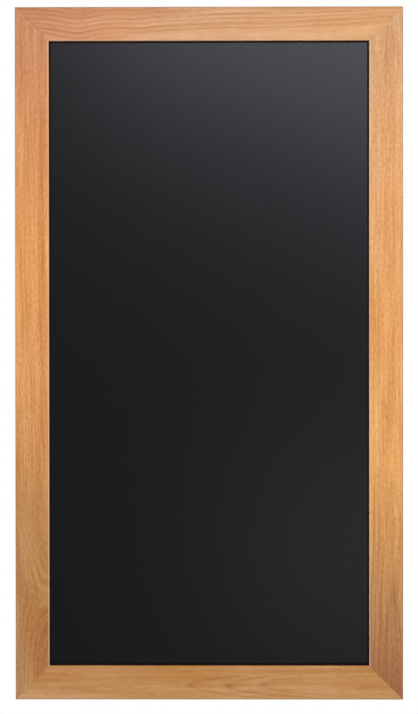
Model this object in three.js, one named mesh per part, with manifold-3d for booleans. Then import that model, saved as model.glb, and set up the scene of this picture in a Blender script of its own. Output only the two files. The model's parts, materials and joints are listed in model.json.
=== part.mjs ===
import * as THREE from 'three';
import { mergeVertices } from 'three/addons/utils/BufferGeometryUtils.js';
import Module from 'manifold-3d';

// Wall chalkboard: a mitred wooden frame round a black writing panel, hung on two D-rings.
// Millimetres. X runs to the right, Y from the front to the wall and Z up.
// The origin lies on the wall plane, midway between the two points where the rings hang.

// Whole board
const boardWidth = 560;
const boardHeight = 1000;
const hookDrop = 120; // top edge down to the bearing points of the rings
const wallStandOff = 5; // wall to the back of the frame

// Section of the frame
const frameFace = 49; // width of a rail or stile seen from the front
const frameDepth = 18;
const lipDepth = 5; // wood in front of the panel
const rebateWidth = 10;
const frontArris = 1.6; // easing of the two front edges
const backArris = 1;
const mitreGap = 0.14; // glue line between two mitred ends
const cutOverrun = 1; // a slot or hole is cut this far past the face it opens on

// Writing panel
const sheetThickness = 0.8;
const coreThickness = 3;
const paperThickness = 0.4;
const panelGlue = 0.05;
const panelSeatGap = 0.1; // panel to the back of the lip
const panelEdgeGap = 1; // panel edge to the wall of the rebate
const paperMargin = 2; // paper stops short of the core's edge

// V-nails
const nailSheet = 0.6;
const nailLeg = 6;
const nailLength = 10;
const nailSunk = 0.3;
const nailGap = 0.08; // wood to steel
const outerNailEdge = 10; // outer edge of the frame to the tip of the outer nail's leg
const innerNailWall = 7; // wall of the rebate to the corner of the inner nail

// Framer's points
const pointThickness = 0.6;
const pointWidth = 6;
const pointBite = 8; // length in the wood
const pointReach = 8; // length over the back of the panel
const pointTip = 3; // length of the taper at the buried end
const pointGap = 0.08;
const pointsPerStile = 4;
const pointsPerRail = 3;

// Hanger strap
const strapThickness = 0.8;
const strapWidth = 15;
const strapSeatGap = 0.05;
const strapTail = 6; // lower screw to the rounded end
const curlGap = 0.2; // wire to the inside of the curl
const curlMouth = 0.5; // end of the curl to the flat of the strap

// D-ring
const wireRadius = 1.2;
const ringSideGap = 1.1; // edge of the strap to the wire beside it
const ringLeg = 5; // straight part of each side
const ringBend = 2.4; // centre line radius of the two lower corners
const ringButt = 0.3; // gap between the wire's two ends, hidden in the curl
const ringRestGap = 0.3; // ring to what it lies against

// Hanger screws
const screwRadius = 1.5;
const screwLength = 12;
const screwTip = 3;
const screwHeadRadius = 3.4;
const screwHeadHeight = 2;
const screwHeadRim = 0.7; // straight part of the head's side
const screwHeadCrown = 0.9; // how full the crown is, as a share of the head's radius
const screwHeadGap = 0.05; // underside of the head to the strap
const screwHoleGap = 0.3; // thread to the hole in the strap
const screwWoodGap = 0.05;
const upperScrewGap = 1.6; // curl to the head of the upper screw
const lowerScrewGap = 1.6; // lowered ring to the head of the lower screw
const crossLength = 3.8;
const crossWidth = 0.9;
const crossDepth = 1.2;

// Wall pads
const padRadius = 6.25;
const padEdge = 0.8; // easing round the face that meets the wall
const padGlue = 0.05;
const padFromEnd = 62; // end of the stile to the middle of the pad

// Facets that the round shapes are drawn with
const arrisFacets = 5; // each eased edge of the frame
const plateFacets = 16; // each arc or hole of the strap's outline
const curlFacets = 20;
const wireFacets = 12; // round the wire
const wireSteps = 80; // along the wire
const wirePoints = 96; // along the line that the wire follows
const screwFacets = 24;
const crownFacets = 6;
const padFacets = 32;
const padEdgeFacets = 5;
const weldDistance = 1e-4; // corners closer than this are one corner

// Fits worked out from the sizes above
const topZ = hookDrop;
const bottomZ = hookDrop - boardHeight;
const middleZ = (topZ + bottomZ) / 2;
const backY = -wallStandOff;
const solidFace = frameFace - rebateWidth;
const stileX = boardWidth / 2 - frameFace / 2;
const panelWidth = boardWidth - 2 * (solidFace + panelEdgeGap);
const panelHeight = boardHeight - 2 * (solidFace + panelEdgeGap);
const sheetFrontY = backY - frameDepth + lipDepth + panelSeatGap;
const coreFrontY = sheetFrontY + sheetThickness + panelGlue;
const paperFrontY = coreFrontY + coreThickness + panelGlue;
const panelBackY = paperFrontY + paperThickness;
const outerNail = outerNailEdge + nailLeg;
const innerNail = solidFace - innerNailWall;
const strapFaceY = backY + strapSeatGap + strapThickness;
const curlInner = wireRadius + curlGap;
const curlOuter = curlInner + strapThickness;
const hingeY = backY + strapSeatGap + curlOuter;
const ringHalfWidth = strapWidth / 2 + ringSideGap + wireRadius;
const ringReach = ringBend + ringLeg + ringHalfWidth; // hinge to the centre line of the bow
const ringLean = Math.asin((hingeY - backY - wireRadius - ringRestGap) / ringReach);
const hingeZ = -(ringReach - wireRadius) * Math.cos(ringLean);
const upperScrewDrop = curlOuter + upperScrewGap + screwHeadRadius;
const lowerScrewDrop = ringReach + wireRadius + lowerScrewGap + screwHeadRadius;
const strapDrop = lowerScrewDrop + strapTail;

// Materials
const lacqueredWood = new THREE.MeshStandardMaterial({ color: 0xd89a5e, roughness: 0.45, metalness: 0 });
const blackMelamine = new THREE.MeshStandardMaterial({ color: 0x232426, roughness: 0.7, metalness: 0 });
const fibreboard = new THREE.MeshStandardMaterial({ color: 0x8a6a4a, roughness: 0.85, metalness: 0 });
const kraftPaper = new THREE.MeshStandardMaterial({ color: 0xb08a5c, roughness: 0.9, metalness: 0 });
const brightSteel = new THREE.MeshStandardMaterial({ color: 0xa9abad, roughness: 0.4, metalness: 1 });
const zincPlate = new THREE.MeshStandardMaterial({ color: 0xc4c6c8, roughness: 0.3, metalness: 1 });
const greyRubber = new THREE.MeshStandardMaterial({ color: 0x2b2b2c, roughness: 0.85, metalness: 0 });

const wasm = await Module();
wasm.setup();

const board = new THREE.Group();
board.name = 'wall_chalkboard';

// Solids for cutting and joining
function toSolid(geometry) {
  const bare = new THREE.BufferGeometry();
  bare.setAttribute('position', geometry.getAttribute('position').clone());
  if (geometry.index) {
    bare.setIndex(geometry.index.clone());
  }
  const welded = mergeVertices(bare, weldDistance);
  return new wasm.Manifold(new wasm.Mesh({
    numProp: 3,
    vertProperties: new Float32Array(welded.getAttribute('position').array),
    triVerts: new Uint32Array(welded.index.array),
  }));
}

function toGeometry(solid) {
  const mesh = solid.getMesh();
  const geometry = new THREE.BufferGeometry();
  const positions = new Float32Array(mesh.vertProperties);
  geometry.setAttribute('position', new THREE.BufferAttribute(positions, 3));
  geometry.setIndex(new THREE.BufferAttribute(new Uint32Array(mesh.triVerts), 1));
  geometry.computeVertexNormals();
  return geometry;
}

function cutFrom(geometry, cutters) {
  let solid = toSolid(geometry);
  for (const cutter of cutters) {
    solid = solid.subtract(toSolid(cutter));
  }
  return toGeometry(solid);
}

function addMesh(parent, name, geometry, material) {
  const mesh = new THREE.Mesh(geometry, material);
  mesh.name = name;
  parent.add(mesh);
  return mesh;
}

// An outline on the X-Z plane, given thickness along Y
function plateFromOutline(outline, fromY, toY) {
  const plate = new THREE.ExtrudeGeometry(outline, {
    depth: toY - fromY,
    bevelEnabled: false,
    curveSegments: plateFacets,
  });
  plate.rotateX(Math.PI / 2);
  plate.translate(0, toY, 0);
  return plate;
}

// V-nail: two legs at a right angle, its corner on the mitre line.
// Local X and -Z run inwards from the outer corner of the frame, Y = 0 is the back face.
function nailGeometry(inset, grow, fromY, toY) {
  const near = inset - nailLeg - grow;
  const inner = inset - nailSheet / 2 - grow;
  const outer = inset + nailSheet / 2 + grow;
  const outline = new THREE.Shape();
  outline.moveTo(outer, -near);
  outline.lineTo(inner, -near);
  outline.lineTo(inner, -inner);
  outline.lineTo(near, -inner);
  outline.lineTo(near, -outer);
  outline.lineTo(outer, -outer);
  outline.closePath();
  return plateFromOutline(outline, fromY, toY);
}

function nailSlots(railLength) {
  const slots = [];
  for (const inset of [outerNail, innerNail]) {
    const slotEnd = -(nailSunk + nailLength + nailGap);
    const left = nailGeometry(inset, nailGap, slotEnd, cutOverrun);
    left.translate(-railLength / 2, 0, 0);
    const right = nailGeometry(inset, nailGap, slotEnd, cutOverrun);
    right.rotateY(Math.PI / 2);
    right.translate(railLength / 2, 0, 0);
    slots.push(left, right);
  }
  return slots;
}

// Framer's point: +Z into the wood from the wall of the rebate, -Z over the panel
function pointGeometry(grow, reach) {
  const half = pointWidth / 2 + grow;
  const bite = pointBite + grow;
  const outline = new THREE.Shape();
  outline.moveTo(-half, -reach);
  outline.lineTo(half, -reach);
  outline.lineTo(half, bite - pointTip);
  outline.lineTo(half / 2, bite);
  outline.lineTo(-half / 2, bite);
  outline.lineTo(-half, bite - pointTip);
  outline.closePath();
  const backFace = panelBackY - backY + panelSeatGap + pointThickness;
  return plateFromOutline(outline, backFace - pointThickness - grow, backFace + grow);
}

function pointPositions(railLength, count) {
  const clear = railLength - 2 * frameFace;
  return Array.from({ length: count }, (_, i) => ((i + 0.5) / count - 0.5) * clear);
}

function pointSlots(railLength, count) {
  return pointPositions(railLength, count).map((x) => {
    const slot = pointGeometry(pointGap, cutOverrun);
    slot.translate(x, 0, -solidFace);
    return slot;
  });
}

// Hanger screw: head towards the wall, underside of the head at Y = 0
function screwGeometry() {
  const profile = new THREE.Path();
  profile.moveTo(0, -screwLength);
  profile.lineTo(screwRadius, -screwLength + screwTip);
  profile.lineTo(screwRadius, 0);
  profile.lineTo(screwHeadRadius, 0);
  profile.lineTo(screwHeadRadius, screwHeadRim);
  profile.quadraticCurveTo(screwHeadRadius * screwHeadCrown, screwHeadHeight, 0, screwHeadHeight);
  const blank = new THREE.LatheGeometry(profile.getPoints(crownFacets), screwFacets);
  const crossY = screwHeadHeight + (cutOverrun - crossDepth) / 2;
  const arms = [0, Math.PI / 2].map((turn) => {
    const arm = new THREE.BoxGeometry(crossLength, crossDepth + cutOverrun, crossWidth);
    arm.rotateY(turn);
    arm.translate(0, crossY, 0);
    return arm;
  });
  return cutFrom(blank, arms);
}

// The hole that the screw makes in the stile, from the back face of the frame
function screwHole() {
  const depth = screwLength - strapSeatGap - strapThickness - screwHeadGap;
  const radius = screwRadius + screwWoodGap;
  const profile = [
    new THREE.Vector2(0, -depth - screwWoodGap),
    new THREE.Vector2(radius, -depth + screwTip),
    new THREE.Vector2(radius, cutOverrun),
    new THREE.Vector2(0, cutOverrun),
  ];
  return new THREE.LatheGeometry(profile, screwFacets);
}

// Frame section: X from the outer edge (0) to the opening (-frameFace), Y from back (0) to front
function frameSection() {
  const inner = -frameFace;
  const front = -frameDepth;
  const wall = -solidFace;
  const lipBack = -frameDepth + lipDepth;
  const section = new THREE.Shape();
  section.moveTo(-backArris, 0);
  section.lineTo(wall, 0);
  section.lineTo(wall, lipBack);
  section.lineTo(inner, lipBack);
  section.lineTo(inner, front + frontArris);
  section.absarc(inner + frontArris, front + frontArris, frontArris, Math.PI, 1.5 * Math.PI, false);
  section.lineTo(-frontArris, front);
  section.absarc(-frontArris, front + frontArris, frontArris, -Math.PI / 2, 0, false);
  section.lineTo(0, -backArris);
  section.absarc(-backArris, -backArris, backArris, 0, Math.PI / 2, false);
  return section;
}

// Rail lying along X with its outer edge up at Z = 0 and its back face at Y = 0
function railGeometry(length) {
  const rail = new THREE.ExtrudeGeometry(frameSection(), {
    depth: length,
    bevelEnabled: false,
    curveSegments: arrisFacets,
  });
  rail.translate(0, 0, -length / 2);
  rail.rotateY(-Math.PI / 2);
  const shortening = mitreGap / Math.SQRT2;
  const position = rail.getAttribute('position');
  for (let i = 0; i < position.count; i += 1) {
    const inset = shortening - position.getZ(i);
    const side = Math.sign(position.getX(i));
    position.setX(i, side * (length / 2 - inset));
  }
  return rail;
}

// One side of the frame with its framer's points and the V-nails of its left corner.
// Holes are given by their place along the side and their distance in from its outer edge.
function addSide({ sideName, railName, cornerName, turn, x, z, length, pointCount, holes }) {
  const side = new THREE.Group();
  side.position.set(x, backY, z);
  side.rotation.y = turn;
  board.add(side);

  const cutters = [...nailSlots(length), ...pointSlots(length, pointCount)];
  for (const [along, across] of holes) {
    const hole = screwHole();
    hole.translate(along, 0, -across);
    cutters.push(hole);
  }
  addMesh(side, railName, cutFrom(railGeometry(length), cutters), lacqueredWood);

  pointPositions(length, pointCount).forEach((along, i) => {
    const point = addMesh(side, `point_${sideName}_${i + 1}`, pointGeometry(0, pointReach), brightSteel);
    point.position.set(along, 0, -solidFace);
  });

  for (const [place, inset] of [['outer', outerNail], ['inner', innerNail]]) {
    const shape = nailGeometry(inset, 0, -(nailSunk + nailLength), -nailSunk);
    const nail = addMesh(side, `v_nail_${cornerName}_${place}`, shape, brightSteel);
    nail.position.x = -length / 2;
  }
}

// Screw holes of the stiles, along each stile from its middle
const upperScrewZ = hingeZ - upperScrewDrop;
const lowerScrewZ = hingeZ - lowerScrewDrop;
const screwHeights = [upperScrewZ - middleZ, lowerScrewZ - middleZ];
const leftHoles = screwHeights.map((height) => [height, frameFace / 2]);
const rightHoles = screwHeights.map((height) => [-height, frameFace / 2]);

const railSizes = { length: boardWidth, pointCount: pointsPerRail, holes: [] };
const stileSizes = { length: boardHeight, pointCount: pointsPerStile };

addSide({
  ...railSizes,
  sideName: 'top',
  railName: 'top_rail',
  cornerName: 'top_left',
  turn: 0,
  x: 0,
  z: topZ,
});
addSide({
  ...stileSizes,
  sideName: 'right',
  railName: 'right_stile',
  cornerName: 'top_right',
  turn: Math.PI / 2,
  x: boardWidth / 2,
  z: middleZ,
  holes: rightHoles,
});
addSide({
  ...railSizes,
  sideName: 'bottom',
  railName: 'bottom_rail',
  cornerName: 'bottom_right',
  turn: Math.PI,
  x: 0,
  z: bottomZ,
});
addSide({
  ...stileSizes,
  sideName: 'left',
  railName: 'left_stile',
  cornerName: 'bottom_left',
  turn: -Math.PI / 2,
  x: -boardWidth / 2,
  z: middleZ,
  holes: leftHoles,
});

// Writing panel: black sheet, fibreboard core and balancing paper
function addPanelLayer(name, width, height, fromY, thickness, material) {
  const layer = addMesh(board, name, new THREE.BoxGeometry(width, thickness, height), material);
  layer.position.set(0, fromY + thickness / 2, middleZ);
}

const paperWidth = panelWidth - 2 * paperMargin;
const paperHeight = panelHeight - 2 * paperMargin;
addPanelLayer('writing_sheet', panelWidth, panelHeight, sheetFrontY, sheetThickness, blackMelamine);
addPanelLayer('panel_core', panelWidth, panelHeight, coreFrontY, coreThickness, fibreboard);
addPanelLayer('backing_paper', paperWidth, paperHeight, paperFrontY, paperThickness, kraftPaper);

// Strap: a flat tongue below the hinge line whose top edge curls round the bar of the ring.
// Local origin on the hinge line, Y = 0 at the middle of the wire.
function strapGeometry() {
  const half = strapWidth / 2;
  const outline = new THREE.Shape();
  outline.moveTo(-half, 0);
  outline.lineTo(-half, -strapDrop + half);
  outline.absarc(0, -strapDrop + half, half, Math.PI, 2 * Math.PI, false);
  outline.lineTo(half, 0);
  outline.closePath();
  for (const drop of [upperScrewDrop, lowerScrewDrop]) {
    const hole = new THREE.Path();
    hole.absarc(0, -drop, screwRadius + screwHoleGap, 0, 2 * Math.PI, true);
    outline.holes.push(hole);
  }
  const tongue = plateFromOutline(outline, -curlOuter, -curlInner);

  // The curl starts on the frame side, goes over the wire and ends short of the tongue
  const mouthAngle = Math.PI - Math.acos((curlInner - curlMouth) / curlOuter);
  const curl = new THREE.Shape();
  curl.absarc(0, 0, curlOuter, Math.PI, -mouthAngle, true);
  curl.absarc(0, 0, curlInner, -mouthAngle, Math.PI, false);
  curl.closePath();
  const roll = new THREE.ExtrudeGeometry(curl, {
    depth: strapWidth,
    bevelEnabled: false,
    curveSegments: curlFacets,
  });
  roll.translate(0, 0, -half);
  roll.rotateY(Math.PI / 2);
  roll.rotateX(Math.PI / 2);
  return toGeometry(toSolid(tongue).add(toSolid(roll)));
}

// D-ring: one wire bent so that its two ends meet in the middle of the bar
function ringGeometry() {
  const straight = ringHalfWidth - ringBend;
  const bowZ = ringBend + ringLeg;
  const centreLine = new THREE.Path();
  centreLine.moveTo(ringButt / 2, 0);
  centreLine.lineTo(straight, 0);
  centreLine.absarc(straight, ringBend, ringBend, -Math.PI / 2, 0, false);
  centreLine.lineTo(ringHalfWidth, bowZ);
  centreLine.absarc(0, bowZ, ringHalfWidth, 0, Math.PI, false);
  centreLine.lineTo(-ringHalfWidth, ringBend);
  centreLine.absarc(-straight, ringBend, ringBend, Math.PI, 1.5 * Math.PI, false);
  centreLine.lineTo(-ringButt / 2, 0);
  const points = centreLine.getSpacedPoints(wirePoints).map((p) => new THREE.Vector3(p.x, 0, p.y));
  const wire = new THREE.Shape();
  wire.absarc(0, 0, wireRadius, 0, 2 * Math.PI, false);
  return new THREE.ExtrudeGeometry(wire, {
    steps: wireSteps,
    curveSegments: wireFacets,
    extrudePath: new THREE.CatmullRomCurve3(points, false),
  });
}

function addHanger(sideName, x) {
  const hanger = new THREE.Group();
  hanger.position.set(x, hingeY, hingeZ);
  board.add(hanger);
  addMesh(hanger, `hanger_strap_${sideName}`, strapGeometry(), zincPlate);
  const ring = addMesh(hanger, `hanger_ring_${sideName}`, ringGeometry(), zincPlate);
  ring.rotation.x = ringLean;
  for (const [place, drop] of [['upper', upperScrewDrop], ['lower', lowerScrewDrop]]) {
    const screw = addMesh(hanger, `hanger_screw_${sideName}_${place}`, screwGeometry(), zincPlate);
    screw.position.set(0, strapFaceY + screwHeadGap - hingeY, -drop);
  }
}

addHanger('left', -stileX);
addHanger('right', stileX);

// Wall pads: soft discs whose outer faces lie on the wall plane
function padGeometry() {
  const thickness = wallStandOff - padGlue;
  const profile = new THREE.Path();
  profile.moveTo(0, -thickness);
  profile.lineTo(padRadius, -thickness);
  profile.lineTo(padRadius, -padEdge);
  profile.absarc(padRadius - padEdge, -padEdge, padEdge, 0, Math.PI / 2, false);
  profile.lineTo(0, 0);
  return new THREE.LatheGeometry(profile.getPoints(padEdgeFacets), padFacets);
}

for (const [rowName, z] of [['top', topZ - padFromEnd], ['bottom', bottomZ + padFromEnd]]) {
  for (const [columnName, x] of [['left', -stileX], ['right', stileX]]) {
    const pad = addMesh(board, `wall_pad_${rowName}_${columnName}`, padGeometry(), greyRubber);
    pad.position.set(x, 0, z);
  }
}

export default board;
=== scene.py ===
import json
import math

import bmesh
import bpy
from mathutils import Matrix, Vector

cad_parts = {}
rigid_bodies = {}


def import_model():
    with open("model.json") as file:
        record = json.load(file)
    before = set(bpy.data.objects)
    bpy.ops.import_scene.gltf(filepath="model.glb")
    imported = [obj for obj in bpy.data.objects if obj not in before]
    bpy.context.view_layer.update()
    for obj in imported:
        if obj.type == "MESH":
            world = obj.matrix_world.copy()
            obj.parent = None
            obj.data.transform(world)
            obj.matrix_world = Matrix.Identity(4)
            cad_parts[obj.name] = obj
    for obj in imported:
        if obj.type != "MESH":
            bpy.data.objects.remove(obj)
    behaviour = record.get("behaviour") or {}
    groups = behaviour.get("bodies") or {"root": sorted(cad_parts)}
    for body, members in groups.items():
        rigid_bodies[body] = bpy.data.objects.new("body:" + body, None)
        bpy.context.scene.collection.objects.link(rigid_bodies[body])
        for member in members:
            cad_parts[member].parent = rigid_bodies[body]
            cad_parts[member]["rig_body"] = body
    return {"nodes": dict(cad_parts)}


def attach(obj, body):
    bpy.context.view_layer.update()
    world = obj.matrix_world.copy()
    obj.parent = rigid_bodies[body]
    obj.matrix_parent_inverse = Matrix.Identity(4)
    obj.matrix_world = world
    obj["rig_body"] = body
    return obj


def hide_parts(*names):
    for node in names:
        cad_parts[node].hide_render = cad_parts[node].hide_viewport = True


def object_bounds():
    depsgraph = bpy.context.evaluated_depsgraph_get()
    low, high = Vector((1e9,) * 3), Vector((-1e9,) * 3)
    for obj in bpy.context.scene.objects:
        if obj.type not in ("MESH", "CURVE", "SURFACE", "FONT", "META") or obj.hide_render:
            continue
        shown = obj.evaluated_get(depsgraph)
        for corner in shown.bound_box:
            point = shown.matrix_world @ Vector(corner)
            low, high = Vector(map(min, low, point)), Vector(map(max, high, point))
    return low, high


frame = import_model()
cadLow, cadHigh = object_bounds()
print("frame loaded")

mm = 0.001
nodeNames = sorted(frame["nodes"])

# Edges of the board in mm, read from the frame
halfWidth = cadHigh[0] / mm
topEdge = cadHigh[2] / mm
bottomEdge = cadLow[2] / mm
frontFace = cadLow[1] / mm
frameFace = 49.0  # width of each side of the frame


def linear(hexColour):
    # sRGB hex colour to linear
    channels = [int(hexColour[i:i + 2], 16) / 255 for i in (1, 3, 5)]
    return tuple(c / 12.92 if c <= 0.04045 else ((c + 0.055) / 1.055) ** 2.4 for c in channels) + (1.0,)


def perMetre(size):
    # How often a pattern of this size in mm repeats in a metre
    return 1 / (size * mm)


def addNode(tree, kind, links=None, **settings):
    node = tree.nodes.new(kind)
    for name, value in settings.items():
        setattr(node, name, value)
    for key, value in (links or {}).items():
        if isinstance(value, bpy.types.NodeSocket):
            tree.links.new(value, node.inputs[key])
        else:
            node.inputs[key].default_value = value
    return node


def newMaterial(name):
    material = bpy.data.materials.new(name)
    material.use_nodes = True
    material.node_tree.nodes.clear()
    return material, material.node_tree


def finishSurface(tree, looks, height, relief, invert=False):
    # Every finish ends alike: relief with its strength and its depth in mm, and colour and gloss in looks
    strength, depth = relief
    bump = addNode(tree, "ShaderNodeBump", {"Strength": strength, "Distance": depth * mm, "Height": height},
                   invert=invert)
    surface = addNode(tree, "ShaderNodeBsdfPrincipled", {**looks, "Normal": bump.outputs[0]})
    addNode(tree, "ShaderNodeOutputMaterial", {"Surface": surface.outputs[0]})


def setStops(ramp, stops, interpolation="LINEAR"):
    ramp.interpolation = interpolation
    while len(ramp.elements) < len(stops):
        ramp.elements.new(0.5)
    while len(ramp.elements) > len(stops):
        ramp.elements.remove(ramp.elements[-1])
    for element, (position, colour) in zip(ramp.elements, stops):
        element.position = position
        element.color = linear(colour) if isinstance(colour, str) else (colour, colour, colour, 1)


# The board fills the photograph, seen almost squarely from about 2.5 m
# Lengths are in metres, turns in degrees
viewpoint = {
    "distance": 2.4989,
    "focalPixels": 1732.3,
    "imageHeight": 714,
    "sensor": 36.0,
    "shiftRight": -0.00004,
    "shiftDown": 0.00489,
    "yaw": -0.40,
    "pitch": 0.421,
    "roll": 0.047,
}


def makeCamera(view):
    turn = (
        Matrix.Rotation(math.radians(-view["roll"]), 3, "Y")
        @ Matrix.Rotation(math.radians(view["pitch"]), 3, "X")
        @ Matrix.Rotation(math.radians(view["yaw"]), 3, "Z")
    )
    toBoard = turn.transposed()
    frontMiddle = Vector((0.0, frontFace, (topEdge + bottomEdge) / 2)) * mm
    spot = frontMiddle - toBoard @ Vector((-view["shiftRight"], view["distance"], view["shiftDown"]))
    right, forward, up = (toBoard @ Vector(axis) for axis in ((1, 0, 0), (0, 1, 0), (0, 0, 1)))
    camera = bpy.data.objects.new("camera", bpy.data.cameras.new("camera"))
    camera.data.sensor_width = view["sensor"]
    camera.data.lens = view["focalPixels"] * view["sensor"] / view["imageHeight"]
    axes = Matrix((right, up, -forward)).transposed()
    camera.matrix_world = Matrix.Translation(spot) @ axes.to_4x4()
    bpy.context.scene.collection.objects.link(camera)
    bpy.context.scene.camera = camera


makeCamera(viewpoint)
print("camera placed")


studio = {
    "worldForSurfaces": 0.37,
    "lamps": [
        # name, place, aim, width, height, turn about its own axis in degrees, watts
        ("softbox upper right", (0.62, -2.8, 0.69), (0.0, 0.0, -0.3), 2.1, 0.70, -13.5, 67.0),
        ("softbox low", (0.62, -2.8, -1.0), (0.0, 0.0, -0.5), 1.1, 0.6, 0.0, 6.4),
        ("softbox middle right", (0.95, -2.8, 0.2), (0.2, 0.0, -0.2), 1.1, 0.6, 0.0, 4.0),
        ("softbox left", (-2.6, -2.2, 0.3), (0.0, 0.0, -0.4), 1.6, 1.8, 0.0, 20.0),
        ("softbox behind", (-1.4, 2.6, 1.2), (0.0, 0.0, -0.4), 1.8, 1.8, 0.0, 62.0),
        ("softbox right side", (3.0, 0.4, 0.2), (0.0, 0.0, -0.4), 1.4, 1.4, 0.0, 40.0),
        ("softbox left side", (-3.0, 0.4, 0.2), (0.0, 0.0, -0.4), 1.4, 1.4, 0.0, 40.0),
        ("softbox overhead", (0.0, 0.6, 2.6), (0.0, 0.0, 0.0), 1.4, 1.0, 0.0, 30.0),
    ],
}


def makeLamps(lamps):
    for name, place, aim, width, height, turn, watts in lamps:
        light = bpy.data.lights.new(name, "AREA")
        light.shape = "RECTANGLE"
        light.size = width
        light.size_y = height
        light.energy = watts
        lamp = bpy.data.objects.new(name, light)
        lamp.location = place
        facing = (Vector(aim) - Vector(place)).to_track_quat("-Z", "Y").to_matrix()
        lamp.rotation_euler = (facing @ Matrix.Rotation(math.radians(turn), 3, "Z")).to_euler()
        lamp.visible_camera = False
        bpy.context.scene.collection.objects.link(lamp)


def makeWorld(surfaceStrength):
    # The camera, mirrors and glass see plain white, while surfaces get a weaker light from it
    world = bpy.data.worlds.new("white studio")
    world.use_nodes = True
    bpy.context.scene.world = world
    tree = world.node_tree
    tree.nodes.clear()
    path = addNode(tree, "ShaderNodeLightPath")
    seen = path.outputs["Is Camera Ray"]
    for ray in ("Is Glossy Ray", "Is Transmission Ray"):
        most = addNode(tree, "ShaderNodeMath", {0: seen, 1: path.outputs[ray]}, operation="MAXIMUM")
        seen = most.outputs[0]
    strength = addNode(tree, "ShaderNodeMapRange", {0: seen, "To Min": surfaceStrength, "To Max": 1.0})
    sky = addNode(tree, "ShaderNodeBackground", {
        "Color": linear("#ffffff"), "Strength": strength.outputs[0]})
    addNode(tree, "ShaderNodeOutputWorld", {"Surface": sky.outputs[0]})


makeLamps(studio["lamps"])
makeWorld(studio["worldForSurfaces"])


# The floor fades into the white backdrop between two distances from its middle
floorStand = {"height": -1.45, "halfSize": 2.2, "paint": "#d2d2d0", "fadeStart": 0.8, "fadeEnd": 2.1}


def makeFloor(stand):
    reach, height = stand["halfSize"], stand["height"]
    corners = [(x * reach, y * reach, height) for x, y in ((-1, -1), (1, -1), (1, 1), (-1, 1))]
    mesh = bpy.data.meshes.new("studio_floor")
    mesh.from_pydata(corners, [], [(0, 1, 2, 3)])
    floor = bpy.data.objects.new("studio_floor", mesh)
    bpy.context.scene.collection.objects.link(floor)
    # Matt painted floor: it keeps the board's shadow, and the camera and reflections see its edges as white
    material, tree = newMaterial("matt painted floor")
    paint = addNode(tree, "ShaderNodeBsdfDiffuse", {"Color": linear(stand["paint"])})
    place = addNode(tree, "ShaderNodeTexCoord").outputs["Object"]
    away = addNode(tree, "ShaderNodeVectorMath", {0: place, 1: (0.0, 0.0, height)}, operation="DISTANCE")
    fade = addNode(tree, "ShaderNodeMapRange", {
        0: away.outputs["Value"], "From Min": stand["fadeStart"], "From Max": stand["fadeEnd"]},
        interpolation_type="SMOOTHSTEP")
    path = addNode(tree, "ShaderNodeLightPath")
    seen = addNode(tree, "ShaderNodeMath", {
        0: path.outputs["Is Camera Ray"], 1: path.outputs["Is Glossy Ray"]}, operation="MAXIMUM")
    amount = addNode(tree, "ShaderNodeMath", {0: seen.outputs[0], 1: fade.outputs[0]}, operation="MULTIPLY")
    white = addNode(tree, "ShaderNodeEmission")
    both = addNode(tree, "ShaderNodeMixShader", {
        0: amount.outputs[0], 1: paint.outputs[0], 2: white.outputs[0]})
    addNode(tree, "ShaderNodeOutputMaterial", {"Surface": both.outputs[0]})
    mesh.materials.append(material)


makeFloor(floorStand)
print("studio ready")


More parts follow.
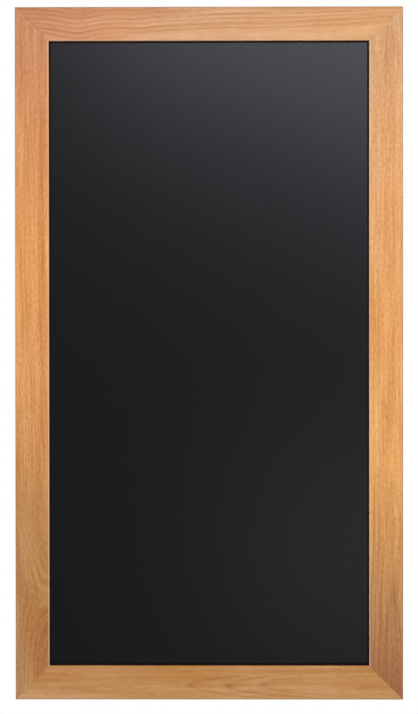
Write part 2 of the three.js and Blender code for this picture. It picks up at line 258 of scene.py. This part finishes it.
# Wood of the frame
# Each side is cut from its own board, and lengths are in mm. "along" and "across" give the axis, direction
# and offset that turn a place into mm along the grain and mm outwards from the opening; depth counts from
# the front face. A bend moves the fibres by "lift" round the place "at", over the lengths "before" and
# "after" it, and dies away over the width "fade". The pith is a line at "across" and "below" the front face,
# whose depth changes by "slope" per mm from "start". "ringBand" gives the distances from the pith where the
# rings start to show, are full, start to fade and are faint, and "ringEnds" their strength from one end of
# the board to the other. A band is a broad change of colour: four places across the board like those of
# "ringBand", and its own "ends". A pin knot has its place along and across the board, then its size.
# The tones are partly the wood's own colour and partly painted shade, which darkens the frame towards the
# bottom
woods = {
    "top_rail": {
        "along": ("X", 1, 0), "across": ("Z", 1, frameFace - topEdge),
        "reach": (-halfWidth, halfWidth), "seed": 3.1,
        "tilt": -0.010, "wave": 0.7, "waveLength": 90,
        "bends": [{"at": -190, "before": 34, "after": 36, "lift": 11, "fade": 300},
                  {"at": -104, "before": 20, "after": 26, "lift": 4, "fade": 300},
                  {"at": 300, "before": 110, "after": 200, "lift": -9, "fade": 300}],
        "pith": {"across": -62, "below": 34, "slope": 0.0, "start": 0}, "ringWidth": 6.2,
        "ringBand": (80, 86, 124, 132), "ringFaint": 0.1,
        "ringEnds": [(0.0, 1.0), (0.5, 0.85), (1.0, 0.65)],
        "ringUneven": 0.45, "ringPhase": 0.76, "ringTint": "#d0ba5c", "ringFlush": "#f4e6cc",
        "streak": {"size": (90, 2.8), "strength": 0.35},
        "fleck": {"size": (12, 2.2), "strength": 0.35},
        "pore": {"strength": 0.15},
        "innerHighlight": 0.25, "pinKnots": [],
        "tones": [(0.0, "#b77b5b"), (0.28, "#c79575"), (0.4, "#c59a7c"), (1.0, "#c89967")],
        "bands": [{"tint": "#f0e6da", "across": (27, 42, 60, 70), "ends": [(0.0, 1.0)]}],
    },
    "bottom_rail": {
        "along": ("X", 1, 0), "across": ("Z", -1, frameFace + bottomEdge),
        "reach": (-halfWidth, halfWidth), "seed": 8.7,
        "tilt": 0.0, "wave": 0.7, "waveLength": 110, "bends": [],
        "pith": {"across": 28, "below": 33, "slope": -0.05, "start": -40}, "ringWidth": 2.8,
        "ringBand": (24, 25.5, 33.4, 34.4), "ringFaint": 0.12,
        "ringEnds": [(0.0, 0.6), (0.4, 1.0), (0.55, 0.9), (0.66, 0.6), (0.78, 0.4), (1.0, 0.3)],
        "ringUneven": 0.3, "ringPhase": 0.13, "ringTint": "#c8ae4c", "ringFlush": "#f2e0c0",
        "streak": {"size": (150, 5.0), "strength": 0.25},
        "fleck": {"size": (16, 3.6), "strength": 0.35},
        "pore": {"strength": 0.1},
        "innerHighlight": 0.0, "pinKnots": [(-155.6, 27.3, 3.6), (249.0, 40.4, 2.6)],
        "tones": [(0.0, "#ba926e"), (0.5, "#b78d62"), (1.0, "#b78b60")],
        "bands": [{"tint": "#ebda95", "across": (-9, -5, 20, 56),
                   "ends": [(0.5, 1.0), (0.6, 0.4), (0.78, 0.5), (0.88, 1.0)]}],
    },
    "left_stile": {
        "along": ("Z", -1, topEdge), "across": ("X", -1, frameFace - halfWidth),
        "reach": (0, topEdge - bottomEdge), "seed": 1.4,
        "tilt": 0.002, "wave": 1.0, "waveLength": 120,
        "bends": [{"at": 852, "before": 66, "after": 46, "lift": 34, "fade": 30}],
        "pith": {"across": -90, "below": 60, "slope": 0.0, "start": 0}, "ringWidth": 5.2,
        "ringBand": (100, 116, 160, 170), "ringFaint": 0.25,
        "ringEnds": [(0.0, 1.0), (0.05, 0.6), (0.12, 0.15), (0.7, 0.2), (0.8, 0.35), (1.0, 0.45)],
        "ringUneven": 0.8, "ringPhase": 0.0, "ringTint": "#d2b85c", "ringFlush": "#f4e4cc",
        "streak": {"size": (110, 2.8), "strength": 0.6},
        "fleck": {"size": (7, 2.4), "strength": 0.6},
        "pore": {"strength": 0.3},
        "innerHighlight": 0.35, "pinKnots": [],
        "tones": [(0.0, "#bd8567"), (0.35, "#d99d5f"), (0.62, "#ce9a69"), (0.72, "#b68958"),
                  (0.85, "#ac8455"), (1.0, "#b28b6c")],
        "bands": [{"tint": "#efcdb6", "across": (4.5, 7.5, 10.5, 17),
                   "ends": [(0.12, 0.4), (0.26, 1.0), (0.6, 1.0), (0.72, 0.1)]},
                  {"tint": "#efd48a", "across": (-9, -5, 22, 40), "ends": [(0.79, 0.0), (0.88, 1.0)]}],
    },
    "right_stile": {
        "along": ("Z", -1, topEdge), "across": ("X", 1, frameFace - halfWidth),
        "reach": (0, topEdge - bottomEdge), "seed": 5.2,
        "tilt": -0.002, "wave": 1.1, "waveLength": 100, "bends": [],
        "pith": {"across": 33, "below": 46, "slope": -0.02, "start": 888}, "ringWidth": 3.2,
        "ringBand": (30, 38, 80, 100), "ringFaint": 0.1,
        "ringEnds": [(0.0, 0.6), (0.05, 0.4), (0.12, 0.15), (0.6, 0.2), (0.8, 0.8), (1.0, 0.9)],
        "ringUneven": 0.5, "ringPhase": 0.0, "ringTint": "#d4bc68", "ringFlush": "#f8ecd8",
        "streak": {"size": (140, 3.6), "strength": 0.5},
        "fleck": {"size": (7, 2.8), "strength": 0.6},
        "pore": {"strength": 0.25},
        "innerHighlight": 0.35, "pinKnots": [(578.0, 24.5, 2.6)],
        "tones": [(0.0, "#c29d81"), (0.25, "#d8ab82"), (0.42, "#d6a46a"), (0.66, "#dcab6f"),
                  (0.88, "#aa8056"), (1.0, "#8f5b33")],
        "bands": [{"tint": "#fff0d6", "across": (6, 26, 36, 44), "ends": [(0.45, 1.0), (0.66, 0.0)]},
                  {"tint": "#fcf4e8", "across": (-9, -5, 35, 43), "ends": [(0.0, 0.0), (0.1, 1.0)]}],
    },
}

# Layers of grain that all four boards have; a board can set its own size and strength. size is the length
# and width in mm, range is the part of the noise that counts, and seed keeps the layers apart
grainLayers = {
    "drift": {"size": (150, 14), "detail": 2.0, "range": (0.36, 0.64), "strength": 1.0,
              "seed": 3, "tint": "#f4e8d2"},
    "streak": {"detail": 3.0, "range": (0.36, 0.66), "seed": 1, "tint": "#e0ca84"},
    "fleck": {"detail": 2.0, "range": (0.38, 0.68), "seed": 5, "tint": "#e0ca84"},
    "fibre": {"size": (24, 0.4), "detail": 2.0, "range": (0.36, 0.64), "strength": 0.5,
              "seed": 11, "tint": "#e4d490"},
    # Pores are drawn wider than real ones, so that they show
    "pore": {"size": (8, 0.75), "detail": 1.0, "range": (0.61, 0.66), "seed": 9, "tint": "#b8944c"},
}
allBoards = {
    "waveWidth": 45.0,  # mm across the board over which the slow waves of the grain change
    "waveSeed": 7.3,  # keeps the waves apart from the layers of grain
    "unevenYears": 2.5,  # years over which the width of the rings changes
    "ringBreaks": (0.36, 0.6),  # the part of the streaks that breaks up the rings
    "knot": {"tint": "#8c5420", "strength": 0.55, "stretch": 2.0},
    # Painted shade along the outer front arris, and a painted highlight along the inner one
    "outerArrisShade": {"width": 2.6, "tint": "#826a54", "strength": 0.5},
    "innerArrisHighlight": {"width": 2.4, "tint": "#e0c6aa"},
    "roughness": (0.52, 0.6), "ior": 1.46,
    "relief": (0.2, 0.05),
}


def woodPlaces(tree, wood):
    # Millimetres along the board, outwards from the opening and down from the front face
    place = addNode(tree, "ShaderNodeTexCoord").outputs["Object"]
    axes = addNode(tree, "ShaderNodeSeparateXYZ", {0: place})
    places = []
    for axis, direction, offset in (wood["along"], wood["across"], ("Y", 1, -frontFace)):
        measured = addNode(tree, "ShaderNodeMath", {0: axes.outputs[axis], 1: direction / mm, 2: offset},
                           operation="MULTIPLY_ADD")
        places.append(measured.outputs[0])
    return places


def bentGrain(tree, wood, along, across):
    # Slow waves, then the sags and swirls that this board shows: the fibres follow lines of equal "flow"
    far = addNode(tree, "ShaderNodeMath", {0: along, 1: wood["waveLength"]}, operation="DIVIDE")
    out = addNode(tree, "ShaderNodeMath", {0: across, 1: allBoards["waveWidth"]}, operation="DIVIDE")
    place = addNode(tree, "ShaderNodeCombineXYZ", {
        0: far.outputs[0], 1: out.outputs[0], 2: wood["seed"] * allBoards["waveSeed"]})
    noise = addNode(tree, "ShaderNodeTexNoise", {"Vector": place.outputs[0], "Scale": 1.0, "Detail": 1.0})
    # The noise keeps to the middle third of its range, so three times the height is asked for
    wave = addNode(tree, "ShaderNodeMapRange", {
        0: noise.outputs[0], "To Min": -3 * wood["wave"], "To Max": 3 * wood["wave"]})
    flow = addNode(tree, "ShaderNodeMath", {0: across, 1: wave.outputs[0]}, operation="ADD")
    flow = addNode(tree, "ShaderNodeMath", {0: along, 1: wood["tilt"], 2: flow.outputs[0]},
                   operation="MULTIPLY_ADD")
    for bend in wood["bends"]:
        at, before, after = bend["at"], bend["before"], bend["after"]
        past = addNode(tree, "ShaderNodeMath", {0: along, 1: 1 / after, 2: -at / after},
                       operation="MULTIPLY_ADD")
        short = addNode(tree, "ShaderNodeMath", {0: along, 1: -1 / before, 2: at / before},
                        operation="MULTIPLY_ADD")
        away = addNode(tree, "ShaderNodeMath", {0: past.outputs[0], 1: short.outputs[0]},
                       operation="MAXIMUM")
        spread = addNode(tree, "ShaderNodeMath", {0: away.outputs[0], 1: away.outputs[0], 2: 1.0},
                         operation="MULTIPLY_ADD")
        fade = addNode(tree, "ShaderNodeMath", {0: across, 1: -1 / bend["fade"]}, operation="MULTIPLY")
        fade = addNode(tree, "ShaderNodeMath", {0: fade.outputs[0]}, operation="EXPONENT")
        lift = addNode(tree, "ShaderNodeMath", {0: fade.outputs[0], 1: spread.outputs[0]},
                       operation="DIVIDE")
        flow = addNode(tree, "ShaderNodeMath", {0: lift.outputs[0], 1: bend["lift"], 2: flow.outputs[0]},
                       operation="MULTIPLY_ADD")
    return flow.outputs[0]


def stretchedNoise(tree, places, size, detail, seed):
    # Noise drawn out along the grain
    along, flow, depth = places
    length, width = size
    moved = addNode(tree, "ShaderNodeMath", {0: along, 1: 1 / length, 2: seed}, operation="MULTIPLY_ADD")
    beside = addNode(tree, "ShaderNodeMath", {0: flow, 1: 1 / width}, operation="MULTIPLY")
    under = addNode(tree, "ShaderNodeMath", {0: depth, 1: 1 / width}, operation="MULTIPLY")
    place = addNode(tree, "ShaderNodeCombineXYZ", {
        0: moved.outputs[0], 1: beside.outputs[0], 2: under.outputs[0]})
    noise = addNode(tree, "ShaderNodeTexNoise", {
        "Vector": place.outputs[0], "Scale": 1.0, "Detail": detail, "Roughness": 0.55})
    return noise.outputs[0]


def between(tree, value, limits):
    # Rises from 0 to 1 between the first two limits and falls back between the last two
    low, risen, falling, high = limits
    rise = addNode(tree, "ShaderNodeMapRange", {0: value, "From Min": low, "From Max": risen})
    fall = addNode(tree, "ShaderNodeMapRange", {0: value, "From Min": high, "From Max": falling})
    both = addNode(tree, "ShaderNodeMath", {0: rise.outputs[0], 1: fall.outputs[0]}, operation="MINIMUM")
    return both.outputs[0]


def fromEndToEnd(tree, part, stops):
    # A level or colour that changes from one end of the board to the other
    ramp = addNode(tree, "ShaderNodeValToRGB", {0: part})
    setStops(ramp.color_ramp, stops)
    return ramp.outputs[0]


def growthRings(tree, wood, part, places, wander):
    # Dark late wood at the end of each ring round the pith, strong only in this board's band of wide rings
    along, flow, depth = places
    pith, ringWidth = wood["pith"], wood["ringWidth"]
    belowAtZero = pith["below"] - pith["slope"] * pith["start"]
    below = addNode(tree, "ShaderNodeMath", {0: along, 1: pith["slope"], 2: belowAtZero},
                    operation="MULTIPLY_ADD")
    below = addNode(tree, "ShaderNodeMath", {0: below.outputs[0], 1: depth}, operation="SUBTRACT")
    beside = addNode(tree, "ShaderNodeMath", {0: flow, 1: pith["across"]}, operation="SUBTRACT")
    offset = addNode(tree, "ShaderNodeCombineXYZ", {0: below.outputs[0], 1: beside.outputs[0]})
    length = addNode(tree, "ShaderNodeVectorMath", {0: offset.outputs[0]}, operation="LENGTH")
    distance = length.outputs["Value"]
    # Wide and narrow years follow each other slowly
    unevenLength = allBoards["unevenYears"] * ringWidth
    step = addNode(tree, "ShaderNodeMath", {0: distance, 1: 1 / unevenLength, 2: wood["seed"]},
                   operation="MULTIPLY_ADD")
    uneven = addNode(tree, "ShaderNodeTexNoise", {"W": step.outputs[0], "Scale": 1.0, "Detail": 1.0},
                     noise_dimensions="1D")
    shift = addNode(tree, "ShaderNodeMath", {
        0: uneven.outputs[0], 1: wood["ringUneven"], 2: wood["ringPhase"]}, operation="MULTIPLY_ADD")
    rings = addNode(tree, "ShaderNodeMath", {0: distance, 1: 1 / ringWidth, 2: shift.outputs[0]},
                    operation="MULTIPLY_ADD")
    ringPart = addNode(tree, "ShaderNodeMath", {0: rings.outputs[0]}, operation="FRACT")
    ringNumber = addNode(tree, "ShaderNodeMath", {0: rings.outputs[0]}, operation="FLOOR")
    tint = addNode(tree, "ShaderNodeValToRGB", {0: ringPart.outputs[0]})
    line, flush = wood["ringTint"], wood["ringFlush"]
    setStops(tint.color_ramp, [(0.0, flush), (0.12, "#ffffff"), (0.35, "#ffffff"), (0.7, flush),
                               (0.86, line), (1.0, flush)], "EASE")
    # Some years leave a stronger line than others
    mark = addNode(tree, "ShaderNodeTexWhiteNoise", {"W": ringNumber.outputs[0]}, noise_dimensions="1D")
    level = addNode(tree, "ShaderNodeMapRange", {0: mark.outputs[0], "To Min": 0.5, "To Max": 1.0})
    band = between(tree, distance, wood["ringBand"])
    band = addNode(tree, "ShaderNodeMath", {0: band, 1: wood["ringFaint"]}, operation="MAXIMUM")
    ends = fromEndToEnd(tree, part, wood["ringEnds"])
    amount = wander
    for factor in (level.outputs[0], band.outputs[0], ends):
        amount = addNode(tree, "ShaderNodeMath", {0: amount, 1: factor}, operation="MULTIPLY").outputs[0]
    return amount, tint.outputs[0]


def darkenKnot(tree, colour, along, across, knot):
    # A dark pin knot, drawn out along the grain
    knotAlong, knotAcross, size = knot
    look = allBoards["knot"]
    stretch = look["stretch"]
    shortened = addNode(tree, "ShaderNodeMath", {0: along, 1: 1 / stretch}, operation="MULTIPLY")
    here = addNode(tree, "ShaderNodeCombineXYZ", {0: shortened.outputs[0], 1: across})
    middle = (knotAlong / stretch, knotAcross, 0.0)
    gap = addNode(tree, "ShaderNodeVectorMath", {0: here.outputs[0], 1: middle}, operation="DISTANCE")
    spot = addNode(tree, "ShaderNodeMapRange", {
        0: gap.outputs["Value"], "From Min": size, "From Max": 0.0, "To Max": look["strength"]},
        interpolation_type="SMOOTHSTEP")
    mixed = addNode(tree, "ShaderNodeMix", {0: spot.outputs[0], 6: colour, 7: linear(look["tint"])},
                    data_type="RGBA")
    return mixed.outputs[2]


def tintArris(tree, colour, across, depth, place, look, strength):
    # Tints one front arris, at its place across the board, and fades to nothing over the width in look
    here = addNode(tree, "ShaderNodeCombineXYZ", {0: across, 1: depth})
    gap = addNode(tree, "ShaderNodeVectorMath", {0: here.outputs[0], 1: (place, 0.0, 0.0)},
                  operation="DISTANCE")
    edge = addNode(tree, "ShaderNodeMapRange", {
        0: gap.outputs["Value"], "From Min": look["width"], "From Max": look["width"] / 3},
        interpolation_type="SMOOTHSTEP")
    edge = addNode(tree, "ShaderNodeMath", {0: edge.outputs[0], 1: strength}, operation="MULTIPLY")
    mixed = addNode(tree, "ShaderNodeMix", {0: edge.outputs[0], 6: colour, 7: linear(look["tint"])},
                    data_type="RGBA")
    return mixed.outputs[2]


def lacqueredWood(name, wood):
    # Planed hardwood under satin lacquer: the growth lines, streaks and open pores make each board its own
    material, tree = newMaterial(name)
    along, across, depth = woodPlaces(tree, wood)
    start, end = wood["reach"]
    part = addNode(tree, "ShaderNodeMapRange", {0: along, "From Min": start, "From Max": end}).outputs[0]
    places = (along, bentGrain(tree, wood, along, across), depth)

    noises, amounts, layers = {}, {}, []
    for layerName, shared in grainLayers.items():
        layer = {**shared, **wood.get(layerName, {})}
        noise = stretchedNoise(tree, places, layer["size"], layer["detail"], wood["seed"] * layer["seed"])
        low, high = layer["range"]
        amount = addNode(tree, "ShaderNodeMapRange", {
            0: noise, "From Min": low, "From Max": high, "To Max": layer["strength"]}).outputs[0]
        noises[layerName] = noise
        amounts[layerName] = amount
        layers.append((amount, linear(layer["tint"])))
    # The streaks break up the rings and the bands of colour
    low, high = allBoards["ringBreaks"]
    wander = addNode(tree, "ShaderNodeMapRange", {
        0: noises["streak"], "From Min": low, "From Max": high, "To Min": 0.5})
    layers.append(growthRings(tree, wood, part, places, wander.outputs[0]))
    broken = addNode(tree, "ShaderNodeMapRange", {
        0: amounts["streak"], "From Max": wood["streak"]["strength"], "To Min": 0.5})
    for band in wood["bands"]:
        amount = between(tree, across, band["across"])
        for factor in (fromEndToEnd(tree, part, band["ends"]), broken.outputs[0]):
            amount = addNode(tree, "ShaderNodeMath", {0: amount, 1: factor}, operation="MULTIPLY").outputs[0]
        layers.append((amount, linear(band["tint"])))

    # The tones hold the wood's own colour and painted shade, darker towards the bottom of the frame
    colour = fromEndToEnd(tree, part, wood["tones"])
    for amount, tint in layers:
        darker = addNode(tree, "ShaderNodeMix", {0: amount, 6: colour, 7: tint},
                         data_type="RGBA", blend_type="MULTIPLY")
        colour = darker.outputs[2]
    for knot in wood["pinKnots"]:
        colour = darkenKnot(tree, colour, along, across, knot)
    # Painted shade greys the outer front arris, and a painted highlight pales the inner one
    outer, inner = allBoards["outerArrisShade"], allBoards["innerArrisHighlight"]
    colour = tintArris(tree, colour, across, depth, frameFace, outer, outer["strength"])
    colour = tintArris(tree, colour, across, depth, 0.0, inner, wood["innerHighlight"])

    relief = addNode(tree, "ShaderNodeMath", {0: amounts["pore"], 1: amounts["fibre"]}, operation="ADD")
    first, last = allBoards["roughness"]
    satin = addNode(tree, "ShaderNodeMapRange", {0: amounts["fleck"], "To Min": first, "To Max": last})
    looks = {"Base Color": colour, "Roughness": satin.outputs[0], "IOR": allBoards["ior"]}
    finishSurface(tree, looks, relief.outputs[0], allBoards["relief"], invert=True)
    return material


# Other finishes
# Sizes of patterns are in mm, each roughness runs from one end of the pattern to the other, and relief gives
# its strength and its depth in mm
usualNoise = (0.3, 0.7)  # where nearly all values of a noise lie

melamine = {
    "dark": "#020101", "light": "#050404", "sheen": "#eef2ff", "specular": 0.12,
    "mottle": (3.571, 2.5, 2.083),  # through x, y and z
    "tooth": 0.909,  # drawn coarser than the real press sheet's
    "roughness": (0.308, 0.252), "relief": (0.2, 0.02),
    # Painted shade fills the corner by the frame where the sheet goes under it, a little higher along the
    # bottom, and dulls the sheen there
    "gapShade": "#060403", "gapShadeFull": 1.6, "gapShadeGone": 3.0, "gapShadeRise": 1.2, "gapShadeDulls": 0.6,
}


def pressedMelamine(look):
    # Black melamine pressed against a fine sheet: deep black with a soft blue-grey sheen and a fine tooth
    material, tree = newMaterial("pressed black melamine")
    place = addNode(tree, "ShaderNodeTexCoord").outputs["Object"]
    tooth = addNode(tree, "ShaderNodeTexNoise", {
        "Vector": place, "Scale": perMetre(look["tooth"]), "Detail": 2.0})
    laid = addNode(tree, "ShaderNodeMapping", {
        0: place, "Scale": [perMetre(size) for size in look["mottle"]]})
    mottle = addNode(tree, "ShaderNodeTexNoise", {"Vector": laid.outputs[0], "Scale": 1.0, "Detail": 3.0})
    low, high = usualNoise
    grain = addNode(tree, "ShaderNodeMapRange", {0: mottle.outputs[0], "From Min": low, "From Max": high})
    shade = addNode(tree, "ShaderNodeMix", {
        0: grain.outputs[0], 6: linear(look["dark"]), 7: linear(look["light"])}, data_type="RGBA")
    # Distance past the edge of the opening, which is below zero on the writing face
    axes = addNode(tree, "ShaderNodeSeparateXYZ", {0: place})
    side = halfWidth - frameFace
    past = []
    for axis, low, high in (("X", -side, side),
                            ("Z", bottomEdge + frameFace + look["gapShadeRise"], topEdge - frameFace)):
        moved = addNode(tree, "ShaderNodeMath", {0: axes.outputs[axis], 1: (low + high) / 2 * mm},
                        operation="SUBTRACT")
        moved = addNode(tree, "ShaderNodeMath", {0: moved.outputs[0]}, operation="ABSOLUTE")
        moved = addNode(tree, "ShaderNodeMath", {0: moved.outputs[0], 1: (high - low) / 2 * mm},
                        operation="SUBTRACT")
        past.append(moved.outputs[0])
    nearest = addNode(tree, "ShaderNodeMath", {0: past[0], 1: past[1]}, operation="MAXIMUM")
    # Painted shade: the sheet is drawn darker and duller in the last few mm by the frame
    gapShade = addNode(tree, "ShaderNodeMapRange", {
        0: nearest.outputs[0], "From Min": -look["gapShadeGone"] * mm, "From Max": -look["gapShadeFull"] * mm},
        interpolation_type="SMOOTHSTEP").outputs[0]
    shade = addNode(tree, "ShaderNodeMix", {0: gapShade, 6: shade.outputs[2], 7: linear(look["gapShade"])},
                    data_type="RGBA")
    first, last = look["roughness"]
    rough = addNode(tree, "ShaderNodeMapRange", {0: grain.outputs[0], "To Min": first, "To Max": last})
    rough = addNode(tree, "ShaderNodeMath", {0: gapShade, 1: look["gapShadeDulls"], 2: rough.outputs[0]},
                    operation="MULTIPLY_ADD")
    looks = {"Base Color": shade.outputs[2], "Roughness": rough.outputs[0],
             "Specular IOR Level": look["specular"], "Specular Tint": linear(look["sheen"])}
    finishSurface(tree, looks, tooth.outputs[0], look["relief"])
    return material


kraft = {
    "colour": "#b8966a",
    "fuzz": 1.25, "fuzzTint": "#d8ccbc",  # drawn coarser than the real fibres
    "roughness": (0.78, 0.92), "relief": (0.3, 0.05),
    "patterns": [
        # turn in radians, size across and up the sheet, the part of the noise that counts, tint
        (0.0, (111.1, 71.43), (0.35, 0.75), "#f7f3ec"),
        (0.0, (2.381, 83.33), usualNoise, "#f7f2ea"),
        (0.9, (3.846, 0.6667), (0.62, 0.78), "#c6b49c"),
        (-0.6, (3.333, 0.5882), (0.62, 0.78), "#fff4e2"),
    ],
}


def kraftPaper(look):
    # Rolled kraft paper: even brown, with crossing fibres and faint lines from the rolls
    material, tree = newMaterial("rolled kraft paper")
    place = addNode(tree, "ShaderNodeTexCoord").outputs["Object"]
    fuzz = addNode(tree, "ShaderNodeTexNoise", {
        "Vector": place, "Scale": perMetre(look["fuzz"]), "Detail": 4.0})
    layers = [(fuzz, usualNoise, look["fuzzTint"])]
    for turn, (across, up), counts, tint in look["patterns"]:
        laid = addNode(tree, "ShaderNodeMapping", {
            0: place, "Rotation": (0.0, turn, 0.0),
            "Scale": [perMetre(size) for size in (across, across, up)]})
        pattern = addNode(tree, "ShaderNodeTexNoise", {
            "Vector": laid.outputs[0], "Scale": 1.0, "Detail": 2.0})
        layers.append((pattern, counts, tint))
    shade = linear(look["colour"])
    for pattern, (low, high), tint in layers:
        amount = addNode(tree, "ShaderNodeMapRange", {
            0: pattern.outputs[0], "From Min": low, "From Max": high})
        darker = addNode(tree, "ShaderNodeMix", {0: amount.outputs[0], 6: shade, 7: linear(tint)},
                         data_type="RGBA", blend_type="MULTIPLY")
        shade = darker.outputs[2]
    first, last = look["roughness"]
    rough = addNode(tree, "ShaderNodeMapRange", {0: fuzz.outputs[0], "To Min": first, "To Max": last})
    looks = {"Base Color": shade, "Roughness": rough.outputs[0]}
    finishSurface(tree, looks, fuzz.outputs[0], look["relief"])
    return material


hardboard = {
    "dark": "#523a28", "light": "#8a6848",
    "fibres": (3.333, 0.4545, 3.333),  # through x, y and z
    "roughness": (0.75, 0.95), "relief": (0.4, 0.1),
}


def pressedHardboard(look):
    # Pressed hardboard: dark brown fibre in thin layers, seen only at the edge of the panel
    material, tree = newMaterial("pressed hardboard")
    place = addNode(tree, "ShaderNodeTexCoord").outputs["Object"]
    layered = addNode(tree, "ShaderNodeMapping", {
        0: place, "Scale": [perMetre(size) for size in look["fibres"]]})
    fibres = addNode(tree, "ShaderNodeTexNoise", {
        "Vector": layered.outputs[0], "Scale": 1.0, "Detail": 5.0, "Roughness": 0.7})
    low, high = usualNoise
    level = addNode(tree, "ShaderNodeMapRange", {0: fibres.outputs[0], "From Min": low, "From Max": high})
    shade = addNode(tree, "ShaderNodeMix", {
        0: level.outputs[0], 6: linear(look["dark"]), 7: linear(look["light"])}, data_type="RGBA")
    first, last = look["roughness"]
    rough = addNode(tree, "ShaderNodeMapRange", {0: fibres.outputs[0], "To Min": first, "To Max": last})
    looks = {"Base Color": shade.outputs[2], "Roughness": rough.outputs[0]}
    finishSurface(tree, looks, fibres.outputs[0], look["relief"])
    return material


steelStrip = {
    "dark": "#83868a", "light": "#b4b6b8", "film": 6.25,
    "roughness": (0.28, 0.5), "relief": (0.15, 0.02),
}
zincPlate = {
    "dark": "#a6a9ac", "light": "#d2d4d4", "film": 4.167,
    "roughness": (0.24, 0.42), "relief": (0.15, 0.02),
}


def platedSteel(name, look):
    # Rolled or plated steel: bright metal, with a cloudy film that dulls it in patches
    material, tree = newMaterial(name)
    place = addNode(tree, "ShaderNodeTexCoord").outputs["Object"]
    film = addNode(tree, "ShaderNodeTexNoise", {
        "Vector": place, "Scale": perMetre(look["film"]), "Detail": 5.0, "Roughness": 0.65})
    shade = addNode(tree, "ShaderNodeMix", {
        0: film.outputs[0], 6: linear(look["dark"]), 7: linear(look["light"])}, data_type="RGBA")
    first, last = look["roughness"]
    low, high = usualNoise
    rough = addNode(tree, "ShaderNodeMapRange", {
        0: film.outputs[0], "From Min": low, "From Max": high, "To Min": first, "To Max": last})
    looks = {"Base Color": shade.outputs[2], "Metallic": 1.0, "Roughness": rough.outputs[0]}
    finishSurface(tree, looks, film.outputs[0], look["relief"])
    return material


rubber = {
    "dark": "#1b1b1c", "light": "#38383a", "bloom": 1.111,
    "roughness": (0.6, 0.85), "relief": (0.2, 0.05),
}


def mouldedRubber(look):
    # Moulded rubber: dark grey, dull, with a dusty bloom
    material, tree = newMaterial("moulded rubber")
    place = addNode(tree, "ShaderNodeTexCoord").outputs["Object"]
    bloom = addNode(tree, "ShaderNodeTexNoise", {
        "Vector": place, "Scale": perMetre(look["bloom"]), "Detail": 4.0})
    shade = addNode(tree, "ShaderNodeMix", {
        0: bloom.outputs[0], 6: linear(look["dark"]), 7: linear(look["light"])}, data_type="RGBA")
    first, last = look["roughness"]
    rough = addNode(tree, "ShaderNodeMapRange", {0: bloom.outputs[0], "To Min": first, "To Max": last})
    looks = {"Base Color": shade.outputs[2], "Roughness": rough.outputs[0]}
    finishSurface(tree, looks, bloom.outputs[0], look["relief"])
    return material


finishes = {
    "melamine": pressedMelamine(melamine),
    "hardboard": pressedHardboard(hardboard),
    "kraft": kraftPaper(kraft),
    "strip": platedSteel("rolled steel strip", steelStrip),
    "zinc": platedSteel("zinc plated steel", zincPlate),
    "rubber": mouldedRubber(rubber),
}
for sideName, wood in woods.items():
    finishes[sideName] = lacqueredWood("lacquered hardwood " + sideName.replace("_", " "), wood)
print("finishes made")


# How the edges of each piece are eased, by the start of its name. easing is the width in mm that is taken
# off an edge, and sharp the angle in degrees from which an edge counts as sharp
sideTrim = {"easing": 0.22, "sharp": 32, "segments": 2}
sheetTrim = {"easing": 0.12, "sharp": 32, "segments": 2}
trims = {
    "writing_sheet": {**sheetTrim, "finish": "melamine"},
    "panel_core": {**sheetTrim, "finish": "hardboard"},
    "backing_paper": {**sheetTrim, "finish": "kraft"},
    "v_nail": {"easing": 0.06, "sharp": 32, "segments": 1, "finish": "strip"},
    "point": {"easing": 0.08, "sharp": 32, "segments": 2, "finish": "strip"},
    "hanger_strap": {"easing": 0.12, "sharp": 40, "segments": 2, "finish": "zinc"},
    "hanger_screw": {"easing": 0.10, "sharp": 40, "segments": 2, "finish": "zinc"},
    "hanger_ring": {"easing": 0.0, "sharp": 50, "segments": 1, "finish": "zinc"},
    "wall_pad": {"easing": 0.25, "sharp": 50, "segments": 3, "finish": "rubber"},
}
for sideName in woods:
    trims[sideName] = {**sideTrim, "finish": sideName}
weldDistance = 0.002 * mm
flatAngle = math.radians(0.4)  # facets that turn less than this become one face
mitreSlack = 0.01  # how far a face's direction may be from that of a mitred end


def onMitre(edge):
    # The mitred ends stay sharp, so that the joint closes to a hairline
    for face in edge.link_faces:
        across, through, up = (abs(part) for part in face.normal)
        if abs(across - up) < mitreSlack and through < mitreSlack:
            return True
    return False


def dressNode(nodeName):
    trim = next(found for start, found in trims.items() if nodeName.startswith(start))
    source = frame["nodes"][nodeName]
    work = bmesh.new()
    work.from_mesh(source.data)
    bmesh.ops.remove_doubles(work, verts=work.verts, dist=weldDistance)
    bmesh.ops.dissolve_limit(work, angle_limit=flatAngle, verts=work.verts, edges=work.edges)
    sharp = math.radians(trim["sharp"])
    if trim["easing"]:
        edges = [e for e in work.edges if e.is_manifold and e.calc_face_angle(0) > sharp and not onMitre(e)]
        bmesh.ops.bevel(work, geom=edges, offset=trim["easing"] * mm, offset_type="OFFSET",
                        segments=trim["segments"], profile=0.5, affect="EDGES", clamp_overlap=True)
    mesh = bpy.data.meshes.new(nodeName + "_finished")
    work.to_mesh(mesh)
    work.free()
    mesh.shade_smooth()
    mesh.set_sharp_from_angle(angle=sharp)
    mesh.materials.clear()
    mesh.materials.append(finishes[trim["finish"]])
    piece = bpy.data.objects.new(nodeName + "_finished", mesh)
    bpy.context.scene.collection.objects.link(piece)
    if trim["easing"]:
        # Large flat faces keep their own direction, and only the eased edges turn the light
        piece.modifiers.new("weighted normals", "WEIGHTED_NORMAL").keep_sharp = True
    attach(piece, source["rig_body"])
    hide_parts(nodeName)


for nodeName in nodeNames:
    dressNode(nodeName)
print("pieces made")

bpy.context.scene.view_settings.view_transform = "Standard"
